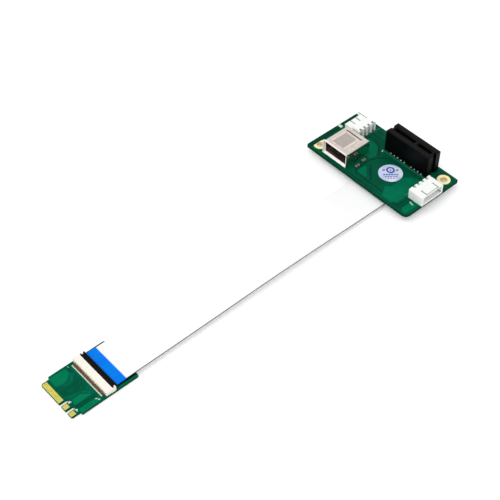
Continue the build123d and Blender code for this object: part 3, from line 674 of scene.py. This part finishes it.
def strip(path: np.ndarray, width: float, low: float, high: float) -> Shape:
    """Raised line of even width with sloped sides along an open path, with mitred corners.

    At each point the line is offset along the mean of the two side directions, over the cosine of half
    the turn, by plus and minus the foot's share of the width, and the crest's share on top.

    Args:
        path: points in X and Y.
        width: width at the foot.
        low: height of the foot.
        high: height of the crest.

    Returns:
        The surface.
    """
    runs = np.diff(path, axis=0)
    runs /= np.linalg.norm(runs, axis=1, keepdims=True)
    before = np.vstack([runs[:1], runs])
    after = np.vstack([runs, runs[-1:]])
    mean = before + after
    mean /= np.linalg.norm(mean, axis=1, keepdims=True)
    side = np.stack([-mean[:, 1], mean[:, 0]], -1) / np.sum(mean * after, axis=1, keepdims=True)
    reach = np.array([-FOOT, -CREST, CREST, FOOT]) * width
    flat = path[:, None, :] + side[:, None, :] * reach[None, :, None]
    rise = np.broadcast_to(np.array([low, high, high, low])[None, :, None], flat.shape[:2] + (1,))
    return np.concatenate([flat, rise], -1).reshape(-1, 3), tube_faces(len(path), 4)


def plate(outline: np.ndarray, low: float, high: float) -> Shape:
    """Closed outline with an upright edge.

    Args:
        outline: corners in X and Y.
        low: height of the underside.
        high: height of the top.

    Returns:
        The surface.
    """
    levels = np.repeat([low, high], len(outline))[:, None]
    return np.hstack([np.vstack([outline, outline]), levels]), tube_faces(2, len(outline))


def ring(centre: Pair, section: np.ndarray, sides: int, stretch: Pair = (1.0, 1.0)) -> Shape:
    """Closed section turned round an upright axis.

    At angle t a section point (r, z) goes to centre + (r * stretch X * cos t, r * stretch Y * sin t, z).

    Args:
        centre: place of the axis.
        section: radius and height of each point.
        sides: number of steps round the axis.
        stretch: scale along X and Y.

    Returns:
        The surface.
    """
    angle = 2 * np.pi * np.arange(sides) / sides
    x = centre[0] + stretch[0] * np.outer(np.cos(angle), section[:, 0])
    y = centre[1] + stretch[1] * np.outer(np.sin(angle), section[:, 0])
    z = np.broadcast_to(section[:, 1], x.shape)
    return np.stack([x, y, z], -1).reshape(-1, 3), tube_faces(sides, len(section), closed=True)


# Flat cable


@dataclass
class FlatCable:
    """Flat cable between the two connectors, in one piece with a rectangular section."""

    width: float = 19.5 * MM
    thickness: float = 0.2 * MM
    length: float = 157.0 * MM
    mouth: float = -78.45 * MM
    middle: float = -7.6 * MM
    across: int = 77
    steps: int = 24
    route: Path = (
        (-82.45, 1.8), (-56.65, 1.8), (-30.2172, 2.0), (-0.17, 2.5), (29.8772, 2.15), (52.55, 1.4),
        (74.55, 1.4),
    )

    def centre_line(self) -> np.ndarray:
        """Points read from the spline whose control points are the route.

        Returns:
            One row of X, Y and Z for each point, in metres.
        """
        curve = bpy.data.curves.new("cable_route", "CURVE")
        curve.dimensions = "3D"
        curve.resolution_u = self.steps
        spline = curve.splines.new("NURBS")
        spline.points.add(len(self.route) - 1)
        spots = [(x * MM, self.middle, z * MM, 1.0) for x, z in self.route]
        spline.points.foreach_set("co", np.ravel(spots))
        spline.order_u = 3
        spline.use_endpoint_u = True
        holder = bpy.data.objects.new("cable_route", curve)
        bpy.context.scene.collection.objects.link(holder)
        bpy.context.view_layer.update()
        line = bpy.data.meshes.new_from_object(holder)
        points = np.zeros(len(line.vertices) * 3)
        line.vertices.foreach_get("co", points)
        bpy.data.objects.remove(holder)
        bpy.data.curves.remove(curve)
        bpy.data.meshes.remove(line)
        return points.reshape(-1, 3)

    def profile(self) -> tuple[np.ndarray, np.ndarray]:
        """Section of the cable: two long faces joined by half-round edges.

        Along each face the offset across runs evenly from edge to edge. Each edge adds one point at
        half the thickness outside.

        Returns:
            Offsets across the cable and along its normal.
        """
        half = self.width / 2 - self.thickness / 2
        even = np.linspace(-half, half, self.across)
        lift = np.full(self.across, self.thickness / 2)
        side = np.concatenate([even, [self.width / 2], even[::-1], [-self.width / 2]])
        rise = np.concatenate([-lift, [0.0], lift, [0.0]])
        return side, rise

    def build(self) -> Object:
        """Carries the profile along the centre line and closes both ends.

        A point is line + side * Y + rise * normal, where the normal is the tangent turned a quarter in
        the XZ plane.

        Returns:
            The cable, which replaces its solid.
        """
        line = self.centre_line()
        tangent = np.gradient(line, axis=0)
        tangent /= np.linalg.norm(tangent, axis=1, keepdims=True)
        normal = np.stack([-tangent[:, 2], np.zeros(len(line)), tangent[:, 0]], -1)
        side, rise = self.profile()
        points = line[:, None, :] + rise[None, :, None] * normal[:, None, :]
        points[:, :, 1] += side[None, :]
        shape = (points.reshape(-1, 3), tube_faces(len(line), len(side)))
        made = surface_object("flat_cable", shape, Finish.RIBBON.material())
        self.add_chart(made)
        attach(made, ROOT_BODY)
        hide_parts("cable_ribbon")
        return made

    def add_chart(self, made: Object) -> None:
        """Gives the cable its map: U is metres along X, and V runs across it from 0 to 1.

        Args:
            made: the cable.
        """
        mesh = made.data
        spots = np.zeros(len(mesh.vertices) * 3)
        mesh.vertices.foreach_get("co", spots)
        spots = spots.reshape(-1, 3)
        corner = np.zeros(len(mesh.loops), int)
        mesh.loops.foreach_get("vertex_index", corner)
        across = (spots[:, 1] - self.middle) / self.width + 0.5
        chart = np.stack([spots[corner, 0], across[corner]], -1)
        layer = mesh.uv_layers.new(name="UVMap")
        layer.data.foreach_set("uv", chart.ravel())


# Printed and plated detail


SINK = 0.01  # how far printed and etched detail reaches into its face, in millimetres


@dataclass(frozen=True)
class Line:
    """A printed or etched line: points and width in millimetres on its board."""

    points: Path | np.ndarray
    width: float


def bundle(first: Path, last: Path, count: int, width: float) -> tuple[Line, ...]:
    """Even lines from a first path to a last one.

    Line i of n lies at the share i / (n - 1) of the way from the first path to the last.

    Args:
        first: points of the first line.
        last: points of the last line.
        count: number of lines.
        width: width of each line.

    Returns:
        The lines.
    """
    start, end = np.array(first), np.array(last)
    paths = start + np.linspace(0, 1, count)[:, None, None] * (end - start)
    return tuple(Line(path, width) for path in paths)


@dataclass
class Artwork:
    """Lines and areas on one face, all of one finish, in millimetres from the face's corner.

    The rise is negative on an underside.
    """

    name: str
    finish: Finish
    corner: Triple
    rise: float
    lines: tuple[Line, ...] = ()
    areas: tuple[Path, ...] = ()
    slot: str = "pcb"

    def build(self) -> Object:
        """Builds the lines and areas as one piece that is sunk a little into the face."""
        x, y, z = self.corner
        low, high = (z - math.copysign(SINK, self.rise)) * MM, (z + self.rise) * MM
        shapes = [
            strip((np.array(line.points) + (x, y)) * MM, line.width * MM, low, high) for line in self.lines
        ]
        shapes += [plate((np.array(area) + (x, y)) * MM, low, high) for area in self.areas]
        return riding_piece(self.name, joined(shapes), self.finish)


@dataclass
class CardArt:
    """Etched and printed detail on the small card."""

    corner: Triple = (-98.15, -18.6, 0.8)

    def upper(self) -> list[Artwork]:
        """Describes the copper, painted shade strips and printed marks of the upper face."""
        bright = (
            Line(((4.8, 11.5), (9.0, 11.3), (12.6, 12.4)), 0.3),
            Line(((4.8, 9.1), (9.6, 9.4), (12.6, 11.0)), 0.3),
            Line(((3.8, 14.9), (5.3, 13.4)), 0.4),
            Line(((9.8, 8.2), (11.8, 5.8)), 0.3),
            Line(((11.2, 7.4), (12.9, 9.6)), 0.25),
            Line(((9.6, 15.2), (11.4, 17.0)), 0.25),
        )
        areas = (
            ((3.6, 16.4), (6.3, 15.6), (8.8, 16.4), (11.0, 18.4), (10.8, 21.0), (3.6, 21.0)),
            ((4.0, 4.9), (11.6, 4.9), (9.4, 7.0), (8.4, 7.7), (4.6, 7.5)),
            ((4.0, 0.4), (12.8, 0.4), (12.8, 2.5), (4.0, 2.5)),
            ((20.4, 0.3), (29.4, 0.3), (29.4, 1.1), (20.4, 1.1)),
        )
        # painted shade: the board's strip left of the ribbon, and the strip under its right edge
        dark_strips = (
            ((20.2, 21.1), (29.3, 21.1), (29.3, 21.9), (20.2, 21.9)),
            ((20.2, 1.1), (29.6, 1.1), (29.6, 2.4), (20.2, 2.4)),
        )
        fan = bundle(
            ((3.2, 15.4), (6.2, 13.8), (9.6, 13.4), (12.9, 16.8)),
            ((3.2, 11.2), (6.2, 9.6), (9.6, 9.2), (12.9, 9.6)),
            7, 0.3,
        )
        low = bundle(((3.6, 4.5), (12.8, 4.5)), ((3.6, 3.0), (12.8, 3.0)), 4, 0.26)
        right = Line(((12.8, 21.2), (11.9, 20.2), (11.9, 18.6), (12.8, 17.8)), 0.5)
        holes = bundle(((6.2, 1.2), (6.5, 1.7)), ((8.9, 1.2), (9.2, 1.7)), 4, 0.3)
        tracks = fan + low + (right,) + holes
        marks = (
            Line(((2.8, 6.9), (3.5, 7.6), (3.9, 6.9)), 0.5),
            Line(((2.8, 3.3), (3.6, 2.9), (3.1, 2.2)), 0.5),
            Line(((11.4, 2.3), (12.1, 1.9)), 0.4),
            Line(((12.0, 1.4), (12.7, 1.0)), 0.4),
            Line(((12.3, 20.4), (12.3, 21.4)), 0.2),
        )
        return [
            Artwork("card_pours", Finish.POUR, self.corner, 0.008, bright, areas),
            Artwork("card_painted_shade", Finish.SHADED, self.corner, 0.01, areas=dark_strips),
            Artwork("card_tracks", Finish.TRACK, self.corner, 0.014, tracks),
            Artwork("card_marks", Finish.SILK, self.corner, 0.02, marks),
        ]

    def lower(self) -> list[Artwork]:
        """Describes the copper of the lower face."""
        corner = (*self.corner[:2], 0.0)
        areas = (
            ((4.0, 1.2), (12.0, 1.2), (14.6, 3.6), (14.6, 8.4), (9.0, 8.4), (4.0, 6.4)),
            ((16.6, 2.0), (26.0, 2.0), (26.0, 6.2), (16.6, 10.0)),
            ((16.6, 18.4), (27.4, 18.4), (27.4, 20.8), (16.6, 20.8)),
        )
        fan = bundle(
            ((3.2, 19.6), (6.0, 18.6), (12.0, 18.6), (14.0, 17.0)),
            ((3.2, 13.3), (6.0, 12.3), (12.0, 12.3), (14.0, 12.1)),
            8, 0.3,
        )
        runs = bundle(((15.4, 17.0), (23.6, 17.0)), ((15.4, 13.5), (23.6, 13.5)), 6, 0.28)
        return [
            Artwork("card_under_pours", Finish.POUR, corner, -0.008, areas=areas),
            Artwork("card_under_tracks", Finish.TRACK, corner, -0.012, fan + runs),
        ]

    def build(self) -> list[Object]:
        """Builds the detail of both faces."""
        return [art.build() for art in self.upper() + self.lower()]


@dataclass
class RiserArt:
    """Etched, printed and plated detail on the riser board."""

    corner: Triple = (65.15, -30.0, 4.0)
    board: float = 1.6
    pads: tuple[float, ...] = (31.2, 29.2, 27.2, 25.2, 23.2, 19.2, 17.2, 15.2, 13.2)
    pad_rows: tuple[float, ...] = (24.2, 30.5)
    pad_section: Path = ((0.52, -0.01), (0.52, 0.05), (0.64, 0.035), (0.78, 0.005), (0.78, -0.01))
    pad_stretch: Pair = (1.0, 0.8)
    pad_sides: int = 20
    holes: Path = ((4.3, 56.4), (28.5, 4.4))
    hole_radius: float = 1.6
    hole_gap: float = 0.002
    hole_plating: float = 0.04
    hole_sides: int = 48

    def upper_copper(self) -> list[Artwork]:
        """Describes the copper under the upper solder mask, and two dark strips along the far edge."""
        lines = (
            Line(((3.3, 16.8), (3.3, 33.0), (4.8, 34.4), (13.6, 34.4), (17.2, 33.0), (21.4, 28.6)), 0.75),
            Line(((4.6, 25.2), (11.9, 32.5)), 0.8),
            Line(((12.6, 35.6), (12.6, 37.2)), 0.8),
            Line(((18.3, 33.9), (21.6, 36.4), (24.6, 40.8), (24.6, 46.0)), 0.5),
            Line(((0.8, 9.2), (3.0, 6.9), (8.8, 6.9)), 0.6),
            Line(((0.8, 7.4), (2.8, 5.4), (8.8, 5.4)), 0.4),
            Line(((21.8, 17.6), (21.8, 11.4)), 0.4),
            Line(((18.9, 12.4), (20.8, 14.4), (20.8, 27.4), (19.4, 28.8)), 0.4),
            Line(((0.9, 20.0), (0.9, 36.0)), 0.5),
            Line(((27.2, 40.4), (27.2, 46.4)), 0.5),
            Line(((30.0, 40.2), (30.0, 46.4)), 0.4),
        )
        # two dark strips along the far edge of the board
        dark_strips = (
            ((0.5, 58.0), (18.6, 58.0), (18.6, 60.3), (1.0, 60.3), (0.5, 59.8)),
            ((21.0, 58.0), (31.0, 58.0), (31.0, 60.3), (21.0, 60.3)),
        )
        areas = (
            ((1.4, 10.4), (3.6, 8.2), (20.2, 8.2), (20.2, 13.2), (16.4, 16.8), (8.2, 16.8), (6.6, 18.6),
             (1.4, 15.4)),
            ((5.2, 28.2), (9.6, 32.6), (9.0, 33.4), (5.2, 33.4), (4.4, 32.4), (4.4, 28.2)),
            ((14.2, 35.4), (17.6, 34.4), (22.8, 38.4), (23.4, 44.6), (18.8, 44.6), (14.2, 40.0)),
            ((1.0, 1.6), (8.6, 1.0), (8.6, 4.6), (2.4, 4.6), (1.0, 3.6)),
        )
        return [
            Artwork("riser_pours", Finish.DEEP_POUR, self.corner, 0.008, areas=areas),
            Artwork("riser_tracks", Finish.TRACK, self.corner, 0.014, lines, dark_strips),
        ]

    def underside(self) -> list[Artwork]:
        """Describes the conductors, copper areas and printed marks of the lower face."""
        corner = (*self.corner[:2], self.corner[2] - self.board)
        areas = (
            ((3.4, 49.0), (13.6, 49.0), (16.8, 52.0), (16.8, 59.0), (9.2, 59.0), (7.9, 54.4), (3.4, 52.6)),
            ((19.4, 36.0), (31.6, 36.0), (31.6, 43.8), (21.4, 43.8), (19.4, 41.8)),
            ((1.6, 2.0), (8.6, 2.0), (8.6, 3.4), (3.6, 8.2), (1.6, 8.2)),
        )
        runs = bundle(
            ((12.6, 15.2), (15.6, 15.2), (18.0, 14.6), (21.6, 14.6)),
            ((12.6, 25.1), (15.6, 25.1), (18.0, 25.4), (21.6, 25.4)),
            10, 0.35,
        )
        feeds = (
            Line(((15.6, 36.2), (18.6, 39.0), (18.6, 44.4)), 0.4),
            Line(((14.0, 33.4), (14.0, 39.0)), 0.4),
            Line(((9.4, 7.6), (4.6, 12.2), (4.6, 34.2), (8.4, 38.0)), 1.0),
            Line(((2.4, 10.0), (2.4, 39.0)), 0.8),
        )
        marks = (
            Line(((9.4, 13.6), (9.4, 11.6), (11.4, 11.6)), 0.25),
            Line(((22.6, 10.4), (32.2, 10.4)), 0.25),
            Line(((22.6, 34.6), (32.2, 34.6)), 0.25),
            Line(((29.4, 56.6), (31.4, 56.6)), 0.4),
        )
        return [
            Artwork("riser_under_pours", Finish.DEEP_POUR, corner, -0.008, areas=areas),
            Artwork("riser_under_tracks", Finish.TRACK, corner, -0.012, runs + feeds),
            Artwork("riser_under_marks", Finish.SILK, corner, -0.018, marks),
        ]

    def print(self) -> list[Artwork]:
        """Describes the printed marks of the upper face."""
        faint = (
            Line(((22.5, 34.9), (22.5, 10.9)), 0.22),
            Line(((25.0, 46.3), (32.5, 46.3)), 0.22),
            Line(((9.2, 8.9), (22.0, 8.9)), 0.2),
        )
        bright = (
            Line(((6.9, 2.6), (7.5, 4.9)), 0.5),
            Line(((21.4, 34.6), (22.7, 35.1)), 0.4),
            Line(((19.9, 58.2), (19.9, 60.3)), 1.6),
            Line(((32.0, 58.2), (32.0, 60.3)), 1.4),
        )
        return [
            Artwork("riser_faint_lines", Finish.FAINT_SILK, self.corner, 0.018, faint),
            Artwork("riser_marks", Finish.SILK, self.corner, 0.022, bright),
        ]

    def plating(self) -> list[Object]:
        """Builds the slot's solder pads and the plated walls of both mounting holes."""
        x, y, z = (value * MM for value in self.corner)
        section = np.array(self.pad_section) * MM + (0.0, z)
        pads = [
            ring((x + u * MM, y + v * MM), section, self.pad_sides, self.pad_stretch)
            for u in self.pad_rows
            for v in self.pads
        ]
        inner, outer = self.hole_radius - self.hole_plating, self.hole_radius - self.hole_gap
        wall = np.array([[outer, -self.board], [outer, 0.0], [inner, 0.0], [inner, -self.board]]) * MM
        wall += (0.0, z)
        walls = [ring((x + u * MM, y + v * MM), wall, self.hole_sides) for u, v in self.holes]
        return [
            riding_piece("slot_pads", joined(pads), Finish.PALE_TIN_HIGHLIGHT),
            riding_piece("hole_walls", joined(walls), Finish.PLATED_WALL_REFLECTION),
        ]

    def build(self) -> list[Object]:
        """Builds the board's added pieces."""
        drawn = self.upper_copper() + self.underside() + self.print()
        return [art.build() for art in drawn] + self.plating()


@dataclass
class LabelArt:
    """Generic print on the round label: a closed ring round a dot between two bars, and rows of dashes."""

    corner: Triple = (79.35, -7.5, 4.1)
    turn: float = math.radians(41.5)
    ring_middle: Pair = (0.1, 1.9)
    ring_radius: float = 1.9
    ring_width: float = 0.7
    ring_sides: int = 40
    bars: tuple[Triple, ...] = ((-0.25, 0.7, 0.7), (-3.4, 1.1, 0.8), (2.5, 1.1, 0.8))
    blue_rows: tuple[tuple[float, int, float], ...] = ((-1.0, 6, 0.75),)
    violet_rows: tuple[tuple[float, int, float], ...] = ((-2.3, 5, 0.7), (-3.4, 3, 0.45))
    dash_length: float = 0.8
    dash_step: float = 1.15
    rise: float = 0.012

    def spot(self, along: float, up: float) -> Pair:
        """Turns a place on the print, along its rows and up from its middle, into X and Y."""
        c, s = math.cos(self.turn), math.sin(self.turn)
        return along * c + up * s, up * c - along * s

    def dash(self, along: float, up: float, length: float, width: float) -> Line:
        """One dash that starts at the given place and runs along its row."""
        return Line((self.spot(along, up), self.spot(along + length, up)), width)

    def row(self, up: float, count: int, width: float) -> tuple[Line, ...]:
        """A row of even dashes, centred on the label."""
        start = -(self.dash_step * (count - 1) + self.dash_length) / 2
        return tuple(
            self.dash(start + i * self.dash_step, up, self.dash_length, width) for i in range(count)
        )

    def circle(self) -> Shape:
        """The ring: a low rectangular section turned round its middle."""
        x, y, z = self.corner
        inner, outer = self.ring_radius - self.ring_width, self.ring_radius
        foot, crest = z - SINK, z + self.rise
        section = np.array([[inner, foot], [outer, foot], [outer, crest], [inner, crest]]) * MM
        across, up = self.spot(*self.ring_middle)
        return ring(((x + across) * MM, (y + up) * MM), section, self.ring_sides)

    def build(self) -> list[Object]:
        """Builds the ring, and the blue and the violet print."""
        level = self.ring_middle[1]
        blue = tuple(self.dash(along, level, length, width) for along, length, width in self.bars)
        blue += sum((self.row(*row) for row in self.blue_rows), ())
        violet = sum((self.row(*row) for row in self.violet_rows), ())
        slot = "label_paper"
        loop = riding_piece("label_ring", self.circle(), Finish.BLUE_INK)
        inks = (("label_blue", Finish.BLUE_INK, blue), ("label_violet", Finish.VIOLET_INK, violet))
        arts = [Artwork(name, ink, self.corner, self.rise, drawn, slot=slot) for name, ink, drawn in inks]
        return [loop] + [art.build() for art in arts]


# Solids of the frame


@dataclass
class DressedSolids:
    """Finishes of the solids that show as they are."""

    nodes: dict[str, Object]
    finishes: dict[Finish, tuple[str, ...]] = field(default_factory=lambda: {
        Finish.BOARD: ("card_board",),
        Finish.DEEP_BOARD: ("riser_board",),
        Finish.GOLD: ("card_fingers_top", "card_fingers_bottom"),
        Finish.RING: ("card_notch_pads", "riser_hole_pads"),
        Finish.SPRING: ("card_zif_contacts", "riser_zif_contacts", "usb_contacts"),
        Finish.SHADED_TINNED: ("slot_contacts",),
        Finish.TIN: (
            "card_zif_solder", "riser_zif_solder", "card_zif_anchors", "riser_zif_anchors",
            "slot_solder", "usb_solder", "header_solder", "power_pins", "aux_pins",
        ),
        Finish.SHADED_TIN: ("capacitor_ends",),
        Finish.NICKEL: ("usb_shell",),
        Finish.CREAM: ("card_zif_housing", "riser_zif_housing"),
        Finish.BLACK: ("slot_housing", "usb_insulator", "card_zif_latch", "riser_zif_latch"),
        Finish.WHITE: ("power_housing", "aux_housing"),
        Finish.BLUE: ("card_stiffener", "riser_stiffener"),
        Finish.PAPER: ("round_label",),
        Finish.CERAMIC: ("capacitor_bodies",),
    })

    def dress(self) -> None:
        """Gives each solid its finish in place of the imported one."""
        for finish, names in self.finishes.items():
            for name in names:
                slots = self.nodes[name].data.materials
                slots.clear()
                slots.append(finish.material())
                log.info("%s: %s", name, finish.name.lower())


# Studio


@dataclass
class Studio:
    """White table, white surroundings, soft light from behind and the camera of the photograph."""

    lens: float = 80.67
    sensor: float = 36.0
    place: Triple = (-202.213 * MM, -233.186 * MM, 341.797 * MM)
    azimuth: float = math.radians(-41.479)
    elevation: float = math.radians(47.433)
    roll: float = math.radians(-0.138)
    near: float = 0.01
    far: float = 20.0
    floor_half: float = 3.0
    floor_depth: float = 0.01
    floor_tone: float = 0.92
    floor_roughness: float = 0.9
    surround: float = 0.92
    floor_glow: float = 0.22
    key: float = 0.45
    key_spread: float = math.radians(50)
    key_tilt: float = math.radians(30)
    key_heading: float = math.radians(48)

    def camera(self) -> None:
        """Adds the camera.

        Its back direction is (sin a cos e, -cos a cos e, sin e). Its right side is level, and then
        both are turned by the roll.
        """
        a, e = self.azimuth, self.elevation
        back = np.array([math.sin(a) * math.cos(e), -math.cos(a) * math.cos(e), math.sin(e)])
        right = np.cross(-back, [0.0, 0.0, 1.0])
        right /= np.linalg.norm(right)
        up = np.cross(right, -back)
        c, s = math.cos(self.roll), math.sin(self.roll)
        turned = np.eye(4)
        turned[:3] = np.column_stack([c * right + s * up, c * up - s * right, back, self.place])
        data = bpy.data.cameras.new("camera")
        data.lens = self.lens
        data.sensor_width = self.sensor
        data.clip_start = self.near
        data.clip_end = self.far
        camera = bpy.data.objects.new("camera", data)
        camera.matrix_world = Matrix(turned.tolist())
        bpy.context.scene.collection.objects.link(camera)
        bpy.context.scene.camera = camera

    def world(self) -> None:
        """Even white light that the camera and mirrored or passed rays see at full white."""
        world = bpy.data.worlds.new("surroundings")
        bpy.context.scene.world = world
        world.use_nodes = True
        nodes = Nodes(world.node_tree)
        rays = nodes.node("ShaderNodeLightPath").outputs
        mirrored = nodes.math("MAXIMUM", rays["Is Camera Ray"], rays["Is Glossy Ray"])
        seen = nodes.math("MAXIMUM", mirrored, rays["Is Transmission Ray"])
        strength = nodes.math("MULTIPLY_ADD", seen, 1.0 - self.surround, self.surround)
        shade = nodes.node("ShaderNodeBackground")
        nodes.feed(shade.inputs["Color"], WHITE_LIGHT)
        nodes.link(strength, shade.inputs["Strength"])
        nodes.link(shade.outputs[0], nodes.node("ShaderNodeOutputWorld").inputs["Surface"])

    def floor(self) -> None:
        """White table top that keeps the object's shadow and stays white elsewhere."""
        outline = self.floor_half * np.array([[-1, -1], [1, -1], [1, 1], [-1, 1]])
        graph = Graph("table_top")
        rays = graph.node("ShaderNodeLightPath").outputs
        glow = graph.math("MULTIPLY", rays["Is Camera Ray"], self.floor_glow)
        tone = (self.floor_tone,) * 3 + (1.0,)
        graph.set(Base_Color=tone, Roughness=self.floor_roughness, Specular_IOR_Level=0.0)
        graph.set(Emission_Color=WHITE_LIGHT, Emission_Strength=glow)
        made = surface_object("table_top", plate(outline, -self.floor_depth, 0.0), graph.material)

    def lamps(self) -> None:
        """One broad key lamp, tilted from above towards the far left of the view."""
        data = bpy.data.lights.new("key", "SUN")
        data.energy = self.key
        data.angle = self.key_spread
        lamp = bpy.data.objects.new("key", data)
        lamp.rotation_euler = (-self.key_tilt, 0.0, self.key_heading)
        bpy.context.scene.collection.objects.link(lamp)

    def build(self) -> None:
        """Sets the stage."""
        bpy.context.scene.view_settings.view_transform = "Standard"
        self.camera()
        self.world()
        self.floor()
        self.lamps()


def main() -> None:
    """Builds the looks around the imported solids."""
    logging.basicConfig(level=logging.INFO, format="%(name)s: %(message)s")
    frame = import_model()
    Studio().build()
    DressedSolids(frame["nodes"]).dress()
    added = [FlatCable().build()] + CardArt().build() + RiserArt().build() + LabelArt().build()
    for piece in added:
        log.info("%s: %d faces", piece.name, len(piece.data.polygons))


if __name__ == "__main__":
    main()
